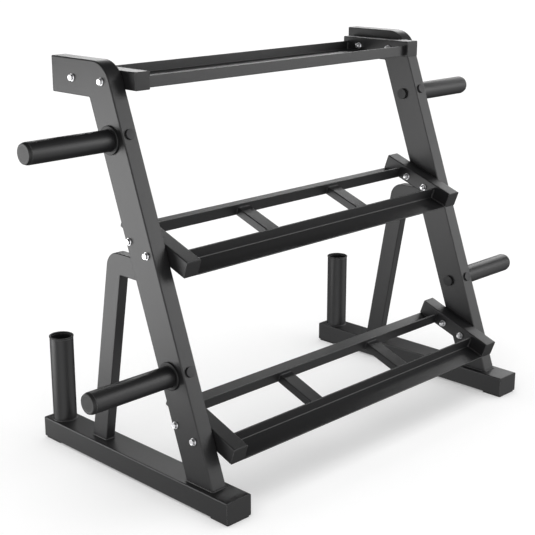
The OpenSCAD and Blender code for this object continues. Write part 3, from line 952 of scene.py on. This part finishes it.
shelf_list = [Shelf(name) for name in SHELVES]
for side_name in SIDES:
    make_upright(side_name)
    make_rear_leg(side_name)
    make_foot_caps(side_name)
    make_upright_cap(side_name)
    make_pads(side_name)
    make_bar_holder(side_name)
    make_frame_welds(side_name)
    for peg_level in ("upper", "lower"):
        make_peg(peg_level, side_name)
    dress(f"foot_{side_name}", COAT)
    for shelf_name in SHELVES:
        dress(f"{shelf_name}_bracket_{side_name}", COAT)
    for shelf_name in SHELVES[1:]:
        dress(f"{shelf_name}_slat_{side_name}", COAT)
dress("peg_spigots", PLATE)
make_inner_caps()
make_cross_bolts()
for one_shelf in shelf_list:
    make_rails(one_shelf)
    make_bracket_caps(one_shelf)
    make_shelf_welds(one_shelf)
make_shelf_fasteners(shelf_list)


# ---- Floor, light and camera ----

FLOOR_HALF = 30.0
FLOOR_GLOW = 0.3
SUN_STRENGTH = 2.75
SUN_SPREAD = math.radians(100)
WHITE = (1.0, 1.0, 1.0, 1.0)

# Soft lamps: place, point lit, width and height in metres, and power in watts
LAMPS = {
    "left": ((-1.6, 1.05, 0.25), (-0.5, 0.0, 0.5), (1.2, 1.2), 20),
    "front": ((2.1, -2.3, 1.55), (0.1, 0.0, 0.5), (2.0, 2.0), 42),
    "back": ((1.1, 1.2, 1.5), (0.0, 0.0, 0.94), (1.6, 0.5), 14),
    "right": ((1.75, 0.25, 0.92), (0.5, -0.25, 0.15), (0.7, 1.0), 7),
}

# The studio's brightness round a direction: from the first value far from it to the second value near it,
# between two cosines of the angle to it
WORLD_TONES = (
    ((0.0, 0.0, 1.0), 0.75, 0.20, 0.05, 0.6),
    ((0.0, 0.0, -1.0), 0.85, 0.25, 0.15, 0.95),
    ((-0.707, -0.707, 0.0), 1.0, 2.9, 0.75, 0.98),
    ((0.707, -0.707, 0.0), 1.0, 1.8, 0.5, 0.95),
    ((0.8, 0.6, 0.0), 1.0, 0.06, 0.2, 0.85),
)

CAMERA_PLACE = (-2.0846, -1.9835, 1.2318)
CAMERA_TURN = (math.radians(73.73), 0.0, math.radians(-45.22))
CAMERA_LENS = 80.66
CAMERA_SENSOR = 36.0


def make_floor():
    """A pale floor, lit partly from within so that it stays even."""
    mesh = bpy.data.meshes.new("floor")
    mesh.from_pydata([(x * FLOOR_HALF, y * FLOOR_HALF, 0) for x, y in ((-1, -1), (1, -1), (1, 1), (-1, 1))],
                     [], [(0, 1, 2, 3)])
    floor = bpy.data.objects.new("floor", mesh)
    bpy.context.scene.collection.objects.link(floor)
    floor.visible_diffuse = False
    floor.visible_glossy = False
    material, tree, shader, place = new_material("pale_floor")
    tone = mix_colour(tree, noise(tree, place, 3.0), (0.69, 0.69, 0.69), (0.71, 0.71, 0.71))
    tree.links.new(tone, shader.inputs["Base Color"])
    shader.inputs["Roughness"].default_value = 0.9
    shader.inputs["Specular IOR Level"].default_value = 0.0
    shader.inputs["Emission Color"].default_value = WHITE
    shader.inputs["Emission Strength"].default_value = FLOOR_GLOW
    mesh.materials.append(material)
    return floor


def linked(name, floor, state):
    """A light linking group that only lights the floor, or leaves it out."""
    group = bpy.data.collections.new(name)
    group.objects.link(floor)
    group.collection_objects[0].light_linking.link_state = state
    return group


def place_lamp(name, light, place, target, group):
    lamp = bpy.data.objects.new(name, light)
    bpy.context.scene.collection.objects.link(lamp)
    lamp.location = place
    lamp.rotation_euler = (Vector(target) - Vector(place)).to_track_quat("-Z", "Y").to_euler()
    lamp.visible_camera = False
    lamp.light_linking.receiver_collection = group


def area_light(name, place, target, size, power, group):
    light = bpy.data.lights.new(name, "AREA")
    light.shape = "RECTANGLE"
    light.size, light.size_y = size
    light.energy = power
    place_lamp(name, light, place, target, group)


def floor_light(group):
    """Soft light from overhead that gives the floor its brightness and the rack's shadow."""
    light = bpy.data.lights.new("overhead", "SUN")
    light.energy = SUN_STRENGTH
    light.angle = SUN_SPREAD
    place_lamp("overhead", light, (0.0, 0.0, 3.0), (0.0, 0.0, 0.0), group)


def toward(tree, direction, low, high, from_low, from_high):
    """World brightness by how close the view runs to a direction."""
    dot = tree.nodes.new("ShaderNodeVectorMath")
    dot.operation = "DOT_PRODUCT"
    tree.links.new(tree.nodes.new("ShaderNodeTexCoord").outputs["Generated"], dot.inputs[0])
    dot.inputs[1].default_value = direction
    return ramp(tree, dot.outputs["Value"], low, high, from_low, from_high)


def multiply(tree, values):
    result = values[0]
    for value in values[1:]:
        product = tree.nodes.new("ShaderNodeMath")
        product.operation = "MULTIPLY"
        tree.links.new(result, product.inputs[0])
        tree.links.new(value, product.inputs[1])
        result = product.outputs["Value"]
    return result


def make_world():
    """A studio that is bright at the horizon and in front, and dim overhead, below and at the back right."""
    world = bpy.data.worlds.new("studio")
    bpy.context.scene.world = world
    world.use_nodes = True
    tree = world.node_tree
    background = next(n for n in tree.nodes if n.type == "BACKGROUND")
    tones = [toward(tree, *tone) for tone in WORLD_TONES]
    tree.links.new(multiply(tree, tones), background.inputs["Strength"])
    background.inputs["Color"].default_value = WHITE


def make_camera():
    camera = bpy.data.objects.new("camera", bpy.data.cameras.new("camera"))
    bpy.context.scene.collection.objects.link(camera)
    camera.data.sensor_width = CAMERA_SENSOR
    camera.data.lens = CAMERA_LENS
    camera.location = CAMERA_PLACE
    camera.rotation_euler = CAMERA_TURN
    bpy.context.scene.camera = camera


floor_piece = make_floor()
floor_only = linked("floor_only", floor_piece, "INCLUDE")
rack_only = linked("rack_only", floor_piece, "EXCLUDE")
make_world()
floor_light(floor_only)
for lamp_name, (lamp_place, lamp_target, lamp_size, lamp_power) in LAMPS.items():
    area_light(lamp_name, lamp_place, lamp_target, lamp_size, lamp_power, rack_only)
make_camera()
bpy.context.scene.view_settings.view_transform = "Standard"
